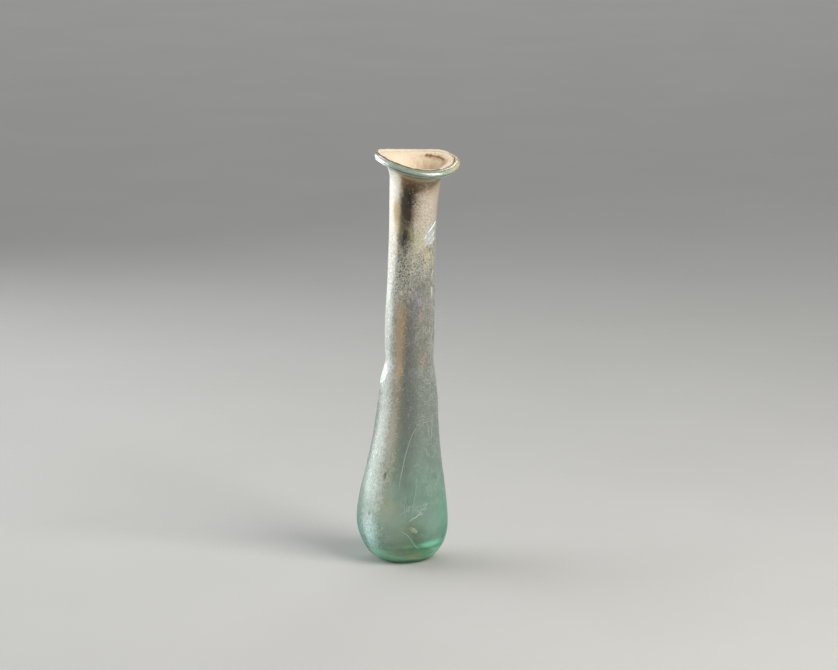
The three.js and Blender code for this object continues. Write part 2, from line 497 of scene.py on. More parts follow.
flaskPlace, rollPlace, blownWall = makeFlaskPlace(), makeRollPlace(), makeBlownWall()
blot = maskGroup("blot", {"Turn": 0.0, "Height": 0.0, "At Turn": 0.0, "At Height": 0.0, "Wide": 10.0,
                          "Tall": 5.0, "Softness": 0.4, "Raggedness": 0.6, "Grain": 2.0}, drawBlot)
specks = maskGroup("specks", {"Spacing": 1.0, "Share": 0.4, "Size": 0.25}, drawSpecks)
streaks = maskGroup("streaks", {"Width": 0.3, "Length": 6.0, "Sharpness": 0.15}, drawStreaks)
mottle = maskGroup("mottle", {"Size": 2.0, "Sharpness": 0.15, "Shift": 0.0}, drawMottle)
crackNet = maskGroup("crackNet", {"Cell": 0.8, "Width": 0.12, "Upright": 1.0}, drawCrackNet)


def useGroup(group, inputs=None):
    return addNode("ShaderNodeGroup", {"node_tree": group}, inputs).outputs


def maskOf(group, place, **sizes):  # a group's mask at this place, with its sizes given by name
    inputs = {name.capitalize(): size for name, size in sizes.items()}
    return useGroup(group, {"Place": place} | inputs)["Mask"]


def clouds(place, size, sharpness, shift=0.0):
    return maskOf(mottle, place, size=size, sharpness=sharpness, shift=shift)


def blotAt(spot, turn, height, wide, tall, softness=0.4, raggedness=0.6, grain=2.0):
    return useGroup(blot, {
        "Turn": spot["Turn"], "Height": spot["Height"], "Place": spot["Place"], "At Turn": turn,
        "At Height": height, "Wide": wide, "Tall": tall, "Softness": softness,
        "Raggedness": raggedness, "Grain": grain})["Mask"]


def startFinish(name):
    material = bpy.data.materials.new(name)
    material.use_nodes = True
    wiring["tree"] = material.node_tree
    return material, material.node_tree.nodes["Principled BSDF"]


socketNames = {
    "ior": "IOR", "transmission": "Transmission Weight", "coat": "Coat Weight", "alpha": "Alpha",
    "coatRoughness": "Coat Roughness", "coatIor": "Coat IOR", "roughness": "Roughness",
    "normal": "Normal", "color": "Base Color",
}


def setShader(shader, **values):
    for name, value in values.items():
        fill(shader.inputs[socketNames[name]], value)


def blendColor(factor, first, second):
    settings = {"data_type": "RGBA", "blend_type": "MIX"}
    return addNode("ShaderNodeMix", settings, {0: factor, 6: first, 7: second}).outputs[2]


def layered(color, look, *layers):  # covers a colour with others of its look, each where its mask says
    for mask, name in layers:
        color = blendColor(mask, color, look[name])
    return color


def bumpFrom(height, strength, distance):
    inputs = {"Strength": strength, "Distance": distance * mm, "Height": height}
    return firstOf("ShaderNodeBump", None, inputs)


def objectPlace():
    return addNode("ShaderNodeTexCoord").outputs["Object"]


def lineAt(value, centre, half, soft):  # 1 within a narrow range of values, 0 beyond it
    return remap(doMath("ABSOLUTE", less(value, centre)), half, half + soft, 1.0, 0.0)


def oneLayerOfTwo(cover):  # a coat has two faces, and both together should cover this much
    return less(1.0, doMath("SQRT", doMath("SUBTRACT", 1.0, cover, clamp=True)))


# Blue-green glass, clearest and thickest at the foot and the rolled edge
glassLook = {
    "clear": tone(242, 252, 249), "straw": tone(240, 244, 228), "ior": 1.5,
    "depthColor": (0.10, 0.74, 0.56, 1.0), "depthDensity": 52.0,
    "streaks": {"width": 0.6, "length": 9.0, "sharpness": 0.25},
    "smoothest": 0.03, "dullest": 0.2, "bump": (0.25, 0.05),
}


def makeOldGlass():
    material, shader = startFinish("oldGlass")
    spot = useGroup(flaskPlace)
    place, height = spot["Place"], spot["Height"]
    cloud, fine = clouds(place, 7.0, 0.2), clouds(place, 0.5, 0.25)
    drawn = maskOf(streaks, place, **glassLook["streaks"])
    aboveFoot, belowEdge = remap(height, 4.0, 24.0), remap(height, 106.0, 108.5, 1.0, 0.0)
    dull = product(aboveFoot, belowEdge, total(product(fine, 0.5), 0.35))
    setShader(shader, transmission=1.0, ior=glassLook["ior"],
              color=blendColor(cloud, glassLook["clear"], glassLook["straw"]),
              roughness=remap(dull, 0.0, 0.85, glassLook["smoothest"], glassLook["dullest"], "LINEAR"),
              normal=bumpFrom(total(product(drawn, 0.6), fine), *glassLook["bump"]))
    depth = firstOf("ShaderNodeVolumeAbsorption", None,
                    {"Color": glassLook["depthColor"], "Density": glassLook["depthDensity"]})
    fill(material.node_tree.nodes["Material Output"].inputs["Volume"], depth)
    return material


# Lays patches over a colour, one after another, and adds what they cover to the coat's cover: stains, and in
# the skin's lower table also painted light and shade
def layPatches(spot, color, cover, stains, look):
    for name, strength, thickness, where in stains:
        mask = blotAt(spot, *where)
        color = layered(color, look, (product(mask, strength), name))
        cover = larger(cover, product(mask, thickness))
    return color, cover


# The weathered skin that frosts, stains and clouds the outside; it also carries a painted highlight down its
# left side and a painted glow round its foot
skinLook = {
    "seaGreenWithPaintedGlow": tone(96, 184, 150), "teal": tone(66, 146, 122), "paintedFootGlow": tone(146, 226, 172),
    "mist": tone(146, 180, 164), "ash": tone(152, 159, 152), "sand": tone(158, 156, 147),
    "blush": tone(222, 208, 178), "pearl": tone(218, 220, 212), "frost": tone(200, 229, 225),
    "warmPearl": tone(216, 211, 198), "chalk": tone(208, 213, 211), "silver": tone(202, 220, 200),
    "pewter": tone(192, 192, 174), "dove": tone(168, 172, 158), "slate": tone(112, 116, 112),
    "tan": tone(206, 186, 152), "orange": tone(214, 174, 128), "straw": tone(206, 204, 156),
    "honey": tone(206, 194, 146), "amber": tone(208, 178, 104), "ochre": tone(200, 176, 124),
    "olive": tone(180, 178, 124), "moss": tone(96, 90, 58), "rose": tone(217, 198, 176),
    "lilac": tone(150, 146, 162), "sky": tone(178, 192, 208), "line": tone(78, 118, 98),
    "umber": tone(164, 130, 86), "rust": tone(150, 98, 58), "bark": tone(120, 94, 60),
    "brown": tone(44, 32, 22),
    "streaks": {"width": 0.32, "length": 2.2, "sharpness": 0.12},
    "dots": {"spacing": 0.7, "share": 0.4, "size": 0.3},
    "flecks": {"spacing": 1.4, "share": 0.14, "size": 0.07},
    "pits": {"spacing": 0.8, "share": 0.5, "size": 0.28},
    "net": {"cell": 0.55, "width": 0.3, "upright": 0.6},
    "highest": 0.97, "ior": 1.5, "bump": (0.35, 0.04),
    "coat": 0.08, "coatRoughness": 0.18, "coatIor": 2.0,
}
# Each row: its colour, its strength, its cover, then turn, height, width, tallness, softness,
# raggedness and grain. Most rows are stains; those marked are painted light or shade, wholly or in part. These
# lie under the pale patches.
lowerStainsAndPaintedLight = [
    # a pale green band all round the foot: painted glow of light caught in the thick glass, lifting the contact
    # shadow
    ("paintedFootGlow", 0.9, 0.7, (0, 0, 400, 5.5, 0.5, 0.15, 3)),
    # sea green low on the right and at the back: partly the glass's own tint, partly painted glow
    ("seaGreenWithPaintedGlow", 0.75, 0.5, (78, 9, 24, 12, 0.6, 0.3, 3)),
    ("teal", 0.9, 0.78, (-84, 8, 26, 10, 0.5, 0.3, 3)),
    ("slate", 0.55, 0.6, (-82, 38, 20, 28, 0.6, 0.3, 3)),
    ("seaGreenWithPaintedGlow", 0.6, 0.5, (180, 7, 80, 9, 0.6, 0.4, 4)),
    ("rose", 0.85, 0.9, (42, 95, 46, 10, 0.3, 0.3, 2)),
    ("straw", 0.8, 0.85, (16, 88, 30, 4.5, 0.5, 0.6, 1.6)),
    ("rose", 0.6, 0.75, (-150, 93, 60, 12, 0.5, 0.7, 5)),
    # The tan rows at turns -24 and -26 and the orange rows at -20 and -25 lay a warm strip beside the pale left
    # side: partly a warm deposit tint, partly painted light refracted through the glass from the left lamp.
    ("tan", 0.8, 0.8, (-24, 62, 14, 20, 0.7, 0.12, 3)),
    ("tan", 0.7, 0.72, (-26, 36, 13, 14, 0.9, 0.1, 3)),
    ("tan", 0.5, 0.6, (140, 62, 24, 24, 0.7, 0.8, 5)),
    ("slate", 0.6, 0.7, (2, 45, 16, 22, 0.7, 0.5, 2)),
    ("orange", 0.55, 0.75, (-20, 66, 6.5, 6, 0.7, 0.4, 1.5)),
    ("orange", 0.6, 0.75, (-25, 56, 7, 4.5, 0.7, 0.4, 1.5)),
    ("orange", 0.7, 0.8, (32, 85.2, 11, 1.5, 0.6, 0.9, 1)),
    ("orange", 0.45, 0.5, (24, 68, 4, 1.3, 0.6, 0.7, 0.9)),
    ("lilac", 0.5, 0.6, (16, 70.6, 9, 3.6, 0.8, 0.6, 1.2)),
    ("sky", 0.6, 0.6, (8, 79.2, 2.6, 1.8, 0.7, 0.6, 0.7)),
    ("straw", 0.75, 0.75, (44, 83, 9, 2.8, 0.7, 0.6, 1)),
    ("straw", 0.4, 0.6, (-6, 83, 26, 4.5, 0.7, 0.6, 1.4)),
    ("dove", 0.65, 0.8, (84, 91, 34, 15, 0.6, 0.4, 2)),
    ("orange", 0.28, 0.5, (34, 56, 8, 2, 0.7, 0.9, 1.2)),
    ("rust", 0.8, 0.94, (-7, 104.6, 26, 3.2, 0.3, 0.3, 1.3)),
    ("umber", 0.6, 0.92, (24, 103.6, 36, 2.4, 0.55, 0.5, 1.3)),
    ("umber", 0.8, 0.94, (-4, 99, 20, 5.5, 0.6, 0.4, 1.4)),
    # The bark rows lay a dark brown crescent just under the rolled edge.
    ("bark", 0.85, 0.95, (6, 103.5, 17, 1.7, 0.5, 0.4, 1)),
    ("bark", 0.8, 0.95, (30, 104.3, 15, 1.4, 0.5, 0.4, 1)),
    ("bark", 0.65, 0.9, (52, 105.3, 14, 1.1, 0.5, 0.4, 1)),
    ("brown", 0.6, 0.95, (-2, 101, 11, 3, 0.6, 0.5, 0.9)),
    ("rust", 0.8, 0.94, (-16, 106.2, 16, 1, 0.6, 1, 0.6)),
    ("moss", 0.5, 0.9, (-2, 89.6, 6, 5, 0.6, 0.6, 1)),
    ("slate", 0.5, 0.8, (54, 88.4, 22, 3.2, 0.5, 0.6, 1)),
    # This brown row and the brown, moss and umber rows near it, at turns -2 to -27, make the dark blot in the
    # upper neck: partly a brown stain, partly painted shade for the dark inside seen through bare glass.
    ("brown", 0.94, 0.97, (-16.5, 97.8, 18, 6.6, 0.5, 0.45, 0.9)),
    ("moss", 0.8, 0.92, (-27, 88.6, 12, 6, 0.5, 0.5, 1.3)),
    ("brown", 0.88, 0.95, (-16, 88.2, 10, 3.4, 0.6, 0.6, 0.7)),
    ("ochre", 0.8, 0.92, (-48, 96.6, 13, 3, 0.6, 0.4, 1.3)),
    ("ochre", 0.6, 0.92, (-42, 92.6, 8, 2.4, 0.6, 0.4, 1.2)),
    ("moss", 0.65, 0.85, (-28, 80.5, 12, 4, 0.6, 0.8, 0.9)),
    ("olive", 0.6, 0.6, (-20, 16, 14, 3.4, 0.6, 0.9, 1.6)),
    ("olive", 0.4, 0.5, (-12, 8, 22, 3.6, 0.7, 0.8, 1.5)),
    ("straw", 0.5, 0.5, (-6, 4.2, 18, 1.7, 0.6, 0.9, 0.9)),
    ("straw", 0.8, 0.75, (18, 2.4, 14, 1.1, 0.5, 1.1, 0.7)),
    ("straw", 0.55, 0.6, (-21, 16.4, 9, 1.5, 0.6, 1.2, 0.8)),
    # A light honey band just under the rolled edge: painted light that lifts the roll's cast shadow.
    ("honey", 0.8, 0.9, (24, 107, 50, 1.3, 0.5, 0.3, 1)),
]
# These lie over them
upperStains = [
    ("amber", 0.65, 0.92, (-45, 96.4, 9, 2.2, 0.8, 1.1, 1)),
    ("amber", 0.45, 0.92, (-41, 91.8, 7, 1.8, 0.8, 0.9, 0.8)),
    ("tan", 0.45, 0.9, (-45, 86.4, 9, 1.6, 0.8, 0.9, 0.8)),
    ("chalk", 0.85, 0.85, (50, 89.4, 20, 2.2, 0.4, 1.4, 0.6)),
    ("moss", 0.8, 0.85, (-29, 25, 2.4, 0.9, 0.5, 0.5, 1)),
    ("moss", 0.85, 0.85, (-46.5, 14.3, 1.4, 0.6, 0.5, 0.5, 0.7)),
]
# Each pale patch: how dense it is, then the same numbers for where it lies. They are white weathering; those on
# the left side, from turn -26 to -84, also stand in for the left lamp's sheen: painted highlight.
palePatchesWithPaintedHighlight = [
    (0.95, (-79, 92, 41, 25, 0.12, 0.12, 1.5)),
    (0.8, (-72, 64, 30, 17, 0.45, 0.2, 2)),
    (0.75, (-58, 80, 18, 7, 0.5, 0.4, 1.5)),
    (0.97, (-56, 103, 20, 6, 0.3, 0.2, 1.2)),
    (0.97, (-84, 51.8, 31, 3.2, 0.14, 0.2, 2.2)),
    (0.86, (-43, 37, 19, 17, 0.8, 0.2, 2.5)),
    (0.8, (-39, 20.5, 17, 12, 0.8, 0.2, 2)),
    (0.97, (-46, 10, 17, 7.5, 0.8, 0.2, 1.6)),
    (0.55, (-26, 11.5, 24, 9, 0.95, 0.4, 2)),
    (0.24, (80, 66, 22, 26, 0.6, 0.5, 3)),
    (0.45, (130, 74, 30, 16, 0.7, 0.9, 4)),
    (0.45, (-160, 24, 34, 14, 0.7, 0.9, 4)),
]
# Where the skin has come away and leaves clear glass: how much of it is gone, then where
clearings = [
    (0.75, (16, 10.4, 12, 3, 0.5, 0.3, 1.5)),
    (0.35, (12, 4.5, 34, 3, 0.5, 0.4, 1.5)),
    (0.3, (20, 16, 34, 8, 0.7, 0.5, 2.5)),
]


def makeWeatheredSkin():
    material, shader = startFinish("weatheredSkin")
    spot = useGroup(flaskPlace)
    place, height = spot["Place"], spot["Height"]
    edge = useGroup(rollPlace, {"Place": place})
    cloud = clouds(place, 2.4, 0.14)
    grain = clouds(place, 0.6, 0.1, 7.0)
    fine = clouds(place, 0.3, 0.1, 2.0)
    drawn = maskOf(streaks, place, **skinLook["streaks"])
    dots = maskOf(specks, place, **skinLook["dots"])
    flecks = maskOf(specks, place, **skinLook["flecks"])
    pits = maskOf(specks, doVector("ADD", place, (5.0, 0.0, 0.0)), **skinLook["pits"])
    net = maskOf(crackNet, place, **skinLook["net"])

    onNeck = remap(height, 44.0, 62.0)
    upNeck = remap(total(height, product(cloud, 6.0)), 84.0, 94.0)
    # sea green at the foot, partly the glass's own tint and partly painted glow, then mist, ash, sand and blush
    # higher up
    color = layered(skinLook["seaGreenWithPaintedGlow"], skinLook, (remap(height, 2.0, 9.0), "mist"),
                    (remap(height, 16.0, 42.0), "ash"), (onNeck, "sand"), (upNeck, "blush"))
    texture = total(product(cloud, 0.2), product(grain, 0.14), product(fine, 0.12),
                    product(drawn, onNeck, 0.14))
    cover = product(total(0.43, texture), remap(height, 1.0, 60.0, 0.76, 1.0, "LINEAR"))
    cover = larger(cover, product(upNeck, 0.9))
    color, cover = layPatches(spot, color, cover, lowerStainsAndPaintedLight, skinLook)

    # pale: white weathering, and down the left side also a painted highlight
    pale = 0.0
    for density, where in palePatchesWithPaintedHighlight:
        pale = larger(pale, product(blotAt(spot, *where), density))
    yellowed = blotAt(spot, -46.0, 96.4, 9.0, 2.8, 0.6, 0.5, 1.2)
    pale = product(pale, total(1.0, product(yellowed, -0.9)))
    # the brightest part of the left neck's strip: painted highlight
    paintedHighlight = blotAt(spot, -42.0, 93.0, 15.0, 17.0, 0.5, 0.3, 2.0)
    scaled = larger(blotAt(spot, -22.0, 79.0, 28.0, 7.0, 0.6, 0.6, 2.0),
                    blotAt(spot, 12.0, 83.5, 30.0, 5.0, 0.6, 0.6, 2.0),
                    product(blotAt(spot, 26.0, 94.5, 26.0, 9.0), 0.75))
    netted, hollows = product(net, scaled), product(less(1.0, net), scaled)
    white = total(product(pale, total(0.9, product(grain, 0.1))), product(larger(dots, flecks), 0.5), netted)
    white = smaller(white, 1.0)
    bright = layered(skinLook["frost"], skinLook, (remap(height, 6.0, 20.0), "pearl"),
                     (remap(height, 60.0, 92.0), "warmPearl"))
    color = blendColor(white, color, bright)
    color, cover = layPatches(spot, color, cover, upperStains, skinLook)
    cover = larger(cover, product(pale, total(0.8, product(grain, 0.2))))
    cover = larger(cover, product(larger(dots, netted), 0.6))
    for share, where in clearings:
        cover = product(cover, total(1.0, product(blotAt(spot, *where), -share)))
    cover = larger(cover, product(flecks, 0.85))
    relief = total(product(grain, 0.15), product(fine, 0.13), product(pits, -0.2))
    # tone: grain, pits and the net's hollows vary it, and the pale patches are lifted further, most in the left
    # neck's strip: painted highlight
    shade = total(0.86, product(relief, total(1.0, product(pale, -0.5))), product(drawn, onNeck, 0.03),
                  product(hollows, -0.3), product(pale, total(0.2, product(paintedHighlight, 0.24))))
    color = scaleVector(color, shade)

    # the rolled edge: silvery, with the fold's two dark lines, honey-coloured on the right
    belowEdge = product(remap(height, 106.4, 108.0, 1.0, 0.0), less(1.0, edge["Near"]))
    angle = edge["Angle"]
    foldLines = larger(lineAt(angle, foldLine["angle"], 4.0, 7.0),
                       product(lineAt(angle, 62.0, 3.0, 7.0), 0.45))
    honey = blotAt(spot, 92.0, 109.2, 38.0, 3.0, 0.5, 0.3, 2.0)
    silver = blotAt(spot, -82.0, 109.2, 40.0, 3.0, 0.6, 0.3, 2.0)
    edgeCover = total(0.52, product(grain, 0.12), product(honey, 0.42), product(silver, 0.5))
    edgeCover = larger(edgeCover, product(foldLines, 0.75))
    edgeColor = layered(skinLook["silver"], skinLook, (honey, "honey"), (silver, "pewter"), (foldLines, "line"))
    cover = total(product(cover, belowEdge), product(edgeCover, edge["Near"]))
    color = blendColor(edge["Near"], color, edgeColor)

    cover = smaller(cover, skinLook["highest"])
    dull = product(remap(grain, 0.0, 1.0, 0.3, 0.55, "LINEAR"), less(1.0, product(edge["Near"], 0.6)))
    bumps = product(total(grain, product(fine, 0.6), product(drawn, onNeck), netted),
                    total(1.0, product(pale, -0.7)))
    coat = total(skinLook["coat"], product(edge["Near"], 1.0 - skinLook["coat"]))
    setShader(shader, ior=skinLook["ior"], coat=coat, coatRoughness=skinLook["coatRoughness"],
              coatIor=skinLook["coatIor"], color=color, alpha=oneLayerOfTwo(cover), roughness=dull,
              normal=bumpFrom(bumps, *skinLook["bump"]))
    return material


# The thin film on the inside, seen through the glass and through the mouth
filmLook = {
    "sea": tone(168, 200, 172), "body": tone(160, 164, 146), "cream": tone(214, 200, 170),
    "olive": tone(166, 166, 108), "lime": tone(206, 210, 110), "soil": tone(96, 72, 46),
    "pale": tone(214, 216, 204), "dots": {"spacing": 1.3, "share": 0.4, "size": 0.2},
    "highest": 0.9, "ior": 1.45, "bump": (0.35, 0.08),
}
innerStains = [
    ("lime", 0.8, 0.8, (-24, 16.6, 7, 0.7, 0.6, 0.9, 0.7)),
    ("olive", 0.7, 0.6, (-18, 9, 20, 4, 0.6, 0.8, 1.5)),
    ("olive", 0.6, 0.55, (0, 3.5, 50, 3, 0.7, 0.8, 2.5)),
    ("lime", 0.8, 0.8, (24, 3.3, 16, 0.8, 0.5, 0.8, 1)),
    ("soil", 0.7, 0.7, (60, 30, 20, 9, 0.7, 1, 3)),
    ("soil", 0.6, 0.6, (-140, 50, 30, 12, 0.7, 1, 3)),
]


def makeInnerFilm():
    material, shader = startFinish("innerFilm")
    spot = useGroup(flaskPlace)
    place, height = spot["Place"], spot["Height"]
    cloud, grain = clouds(place, 2.6, 0.14, 11.0), clouds(place, 0.7, 0.12, 3.0)
    dots = maskOf(specks, place, **filmLook["dots"])
    color = layered(filmLook["sea"], filmLook, (remap(height, 12.0, 50.0), "body"),
                    (remap(height, 70.0, 95.0), "cream"), (product(cloud, 0.4), "pale"))
    cover = product(remap(height, 2.0, 70.0, 0.34, 0.6), total(0.6, product(grain, 0.6)))
    color, cover = layPatches(spot, color, cover, innerStains, filmLook)
    color = layered(color, filmLook, (product(dots, 0.7), "cream"))
    cover = product(larger(cover, product(dots, 0.7)), remap(height, 107.2, 108.6, 1.0, 0.0))
    cover = smaller(cover, filmLook["highest"])
    setShader(shader, ior=filmLook["ior"], color=color, alpha=oneLayerOfTwo(cover),
              roughness=remap(grain, 0.0, 1.0, 0.45, 0.7, "LINEAR"),
              normal=bumpFrom(total(grain, cloud), *filmLook["bump"]))
    return material


# The dried deposit that coats the mouth like cream paint and thins out down the neck
creamLook = {
    "cream": tone(223, 208, 182), "blush": tone(216, 190, 158), "dirt": tone(110, 64, 27),
    "shade": tone(206, 182, 148), "soil": tone(158, 116, 72), "ior": 1.45, "bump": (0.4, 0.12),
    "dots": {"spacing": 1.5, "share": 0.25, "size": 0.12}, "net": {"cell": 0.9, "width": 0.25},
}
# The brown streak of dirt across it: each clot's turn, height, width, tallness and the rest
dirtSpots = [
    (160, 109.23, 4.2, 0.28, 0.4, 0.9, 0.3),
    (152, 109.18, 4.4, 0.34, 0.4, 0.9, 0.3),
    (144, 109.26, 5.4, 0.15, 0.5, 1, 0.25),
    (133, 109.2, 6.4, 0.22, 0.5, 1, 0.3),
    (122, 109.18, 7, 0.16, 0.5, 1, 0.25),
    (113, 109.12, 5.4, 0.2, 0.5, 0.9, 0.3),
]


def makeDriedCream():
    material, shader = startFinish("driedCream")
    spot = useGroup(flaskPlace)
    place, height = spot["Place"], spot["Height"]
    edge = useGroup(rollPlace, {"Place": place})
    cloud, grain = clouds(place, 3.0, 0.2, 5.0), clouds(place, 0.6, 0.16, 9.0)
    dots = maskOf(specks, place, **creamLook["dots"])
    net = maskOf(crackNet, place, **creamLook["net"])
    blush = blotAt(spot, 120.0, 107.0, 60.0, 3.4, 0.6, 0.6, 2.5)
    throat = remap(height, 106.0, 101.0)
    soil = blotAt(spot, 136.0, 109.1, 32.0, 0.5, 0.7, 1.0, 0.7)
    tarnish = blotAt(spot, 96.0, 108.7, 16.0, 0.7, 0.6, 0.9, 0.6)
    dirt = larger(0.0, *[blotAt(spot, *where) for where in dirtSpots])
    color = layered(creamLook["cream"], creamLook, (product(cloud, 0.3), "blush"),
                    (product(blush, 0.45), "blush"), (product(throat, 0.3), "shade"),
                    (product(soil, 0.55), "soil"), (product(tarnish, 0.62), "soil"),
                    (product(dirt, 0.82), "dirt"), (product(dots, 0.6), "dirt"))
    # it stops short of the roll, sooner at the front right, and ends in a net of cracks down the neck
    reach = remap(blotAt(spot, 78.0, 109.6, 46.0, 4.0, 0.4, 0.2, 3.0), 0.0, 1.0, 88.0, 128.0)
    ragged = product(less(grain, 0.5), 16.0)
    upper = remap(less(total(edge["Angle"], ragged), reach), -6.0, 6.0)
    onEdge = larger(upper, less(1.0, edge["Near"]))
    level = total(height, product(cloud, 7.0), product(net, 4.0), product(grain, 2.0))
    cover = product(onEdge, remap(level, 91.0, 97.0))
    setShader(shader, ior=creamLook["ior"], color=color, alpha=oneLayerOfTwo(cover),
              roughness=remap(grain, 0.0, 1.0, 0.6, 0.85, "LINEAR"),
              normal=bumpFrom(total(grain, product(cloud, 1.5)), *creamLook["bump"]))
    return material


# Finishes of two blended colours, each with its grain in millimetres, its roughness and its cover
plainLooks = {
    "scratchPale": (tone(192, 212, 202), tone(220, 232, 226), 0.8, 0.5, 0.64),
    "scratchWhite": (tone(232, 238, 236), tone(250, 252, 250), 0.8, 0.4, 1.0),
    "lumpPale": (tone(212, 204, 168), tone(250, 244, 224), 0.5, 0.6, 1.0),
    "crumbStraw": (tone(206, 204, 130), tone(236, 230, 180), 0.4, 0.7, 1.0),
    "crumbSoil": (tone(84, 48, 24), tone(136, 88, 48), 0.4, 0.8, 1.0),
}
plainSharpness, plainBump = 0.15, (0.4, 0.05)
airLook = {"clear": (1.0, 1.0, 1.0, 1.0), "roughness": 0.02}


def makePlainFinish(name, first, second, grainSize, rough, cover):
    material, shader = startFinish(name)
    place = scaleVector(objectPlace(), 1 / mm)
    grain = clouds(place, grainSize, plainSharpness)
    setShader(shader, color=blendColor(grain, first, second), roughness=rough, alpha=cover,
              normal=bumpFrom(grain, *plainBump))
    return material


def makeTrappedAir():  # light bends the other way as it leaves the glass for the air
    material, shader = startFinish("trappedAir")
    setShader(shader, transmission=1.0, ior=1 / glassLook["ior"], roughness=airLook["roughness"],
              color=airLook["clear"])
    return material


oldGlass, weatheredSkin = makeOldGlass(), makeWeatheredSkin()
innerFilm, driedCream, trappedAir = makeInnerFilm(), makeDriedCream(), makeTrappedAir()
plain = {name: makePlainFinish(name, *look) for name, look in plainLooks.items()}
print("stage: finishes made")

# Each coat: how far its bonded and free faces stand off the glass, in millimetres. The skin ends
# this many rows short of the inside and this high above the table, the film starts this many rows
# into the inside, and the cream starts this many rows up the roll and reaches down to this height.
coats = {
    "skin": (0.015, 0.045), "film": (0.03, 0.08), "cream": (0.12, 0.3),
    "skinShort": 2, "skinFoot": 0.2, "filmInto": 3, "creamOver": 18, "creamDown": 80.0,
}
outerRun = outsideRun() + rollRun()
wholeOutline = withNormals(outerRun + insideRun())
outerRows, innerRows = wholeOutline[:len(outerRun)], wholeOutline[len(outerRun):]

glass = blowWall("glassWall", wholeOutline, oldGlass)

skinRows = [row for row in outerRows[:-coats["skinShort"]] if row[1] > coats["skinFoot"]]
skin = blowWall("weatheredSkin", coatOn(skinRows, *coats["skin"]), weatheredSkin)

filmRows = innerRows[coats["filmInto"]:]
film = blowWall("innerFilm", coatOn(filmRows, *coats["film"]), innerFilm, blowing["filmSides"])

creamRows = outerRows[-coats["creamOver"]:] + [row for row in innerRows if row[1] > coats["creamDown"]]
cream = blowWall("mouthDeposit", coatOn(creamRows, *coats["cream"]), driedCream, crust=blowing["crust"])
print("stage: glass and coats blown")


# Sweeps thin rods along drawn lines
def makeHairlines():
    tree, given, result = openGroup("hairlines", "GeometryNodeTree", {
        "Paths": "Geometry", "Thickness": 1.0, "Sides": 8, "Finish": "Material"}, {"Rods": "Geometry"})
    curve = firstOf("GeometryNodeMeshToCurve", None, {0: given["Paths"]})
    circle = firstOf("GeometryNodeCurvePrimitiveCircle", None, {"Resolution": given["Sides"], 4: 1.0})
    swept = firstOf("GeometryNodeCurveToMesh", None, {
        "Curve": curve, "Profile Curve": circle, "Fill Caps": True,
        "Scale": product(named("thick"), given["Thickness"])})
    return endTree(tree, swept, given, result["Rods"])


# Scatters small uneven lumps over a surface, as thickly as its points are weighted
def makeScatterBits():
    tree, given, result = openGroup("scatterBits", "GeometryNodeTree", {
        "Ground": "Geometry", "Spacing": 0.001, "Density": 1000.0, "Seed": 1, "Smallest": 0.0001,
        "Largest": 0.0003, "Stretch": (1.0, 1.0, 1.0), "Lift": 0.0, "Lumpiness": 0.0,
        "Lump Size": 0.0004, "Fineness": 2, "Finish": "Material"}, {"Bits": "Geometry"})
    spread = addNode("GeometryNodeDistributePointsOnFaces", {"distribute_method": "POISSON"}, {
        "Mesh": given["Ground"], "Distance Min": given["Spacing"], "Density Max": given["Density"],
        "Density Factor": named("weight"), "Seed": given["Seed"]}).outputs
    points = firstOf("GeometryNodeSetPosition", None, {
        "Geometry": spread["Points"], "Offset": scaleVector(spread["Normal"], given["Lift"])})
    ball = firstOf("GeometryNodeMeshIcoSphere", None, {"Radius": 1.0, "Subdivisions": given["Fineness"]})
    size = addNode("FunctionNodeRandomValue", {"data_type": "FLOAT"}, {
        2: given["Smallest"], 3: given["Largest"], "Seed": given["Seed"]}).outputs[1]
    bits = firstOf("GeometryNodeInstanceOnPoints", None, {
        "Points": points, "Instance": ball, "Rotation": spread["Rotation"],
        "Scale": scaleVector(given["Stretch"], size)})
    real = firstOf("GeometryNodeRealizeInstances", None, {"Geometry": bits})
    lump = addNode("ShaderNodeTexNoise", None, {
        "Vector": firstOf("GeometryNodeInputPosition"), "Scale": ratio(1.0, given["Lump Size"]),
        "Detail": 2.0}).outputs["Color"]
    push = scaleVector(doVector("SUBTRACT", lump, (0.5, 0.5, 0.5)), given["Lumpiness"])
    uneven = firstOf("GeometryNodeSetPosition", None, {"Geometry": real, "Offset": push})
    return endTree(tree, uneven, given, result["Bits"])


hairlines, scatterBits = makeHairlines(), makeScatterBits()


def rayTree(piece):
    mesh = piece.data
    return BVHTree.FromPolygons([v.co for v in mesh.vertices], [list(p.vertices) for p in mesh.polygons])


skinSurface, filmSurface = rayTree(skin), rayTree(film)
probe = 40 * mm  # the length of a ray that starts or ends well outside the flask


def axisAt(height):
    return Vector((driftAt(height), -flask["forwardLean"] * (height / mouth[0]) ** 2, height)) * mm


def outward(turn):
    angle = math.radians(turn)
    return Vector((math.sin(angle), -math.cos(angle), 0.0))


def spotOutside(surface, turn, height):
    return surface.ray_cast(axisAt(height) + outward(turn) * probe, -outward(turn), 2 * probe)[0]


def spotInside(surface, turn, height):
    return surface.ray_cast(axisAt(height), outward(turn), 2 * probe)[0]


# How lines are drawn: the length of a step and of a degree's arc in millimetres, how much of a sine
# curve their thickness follows, and how many sides their rods have
drawing = {"step": 0.5, "mmPerDegree": 0.15, "taperStart": 0.12, "taperSpan": 0.76, "rodSides": 8}


def smoothPath(spots):  # a smooth path through (turn, height) spots
    lengths = [0.0]
    for a, b in zip(spots, spots[1:]):
        lengths.append(lengths[-1] + math.hypot((b[0] - a[0]) * drawing["mmPerDegree"], b[1] - a[1]))
    turns = curveThrough(lengths, [s[0] for s in spots])
    heights = curveThrough(lengths, [s[1] for s in spots])
    count = max(int(lengths[-1] / drawing["step"]), 2)
    steps = [lengths[-1] * i / count for i in range(count + 1)]
    return [(turns(step), heights(step)) for step in steps]


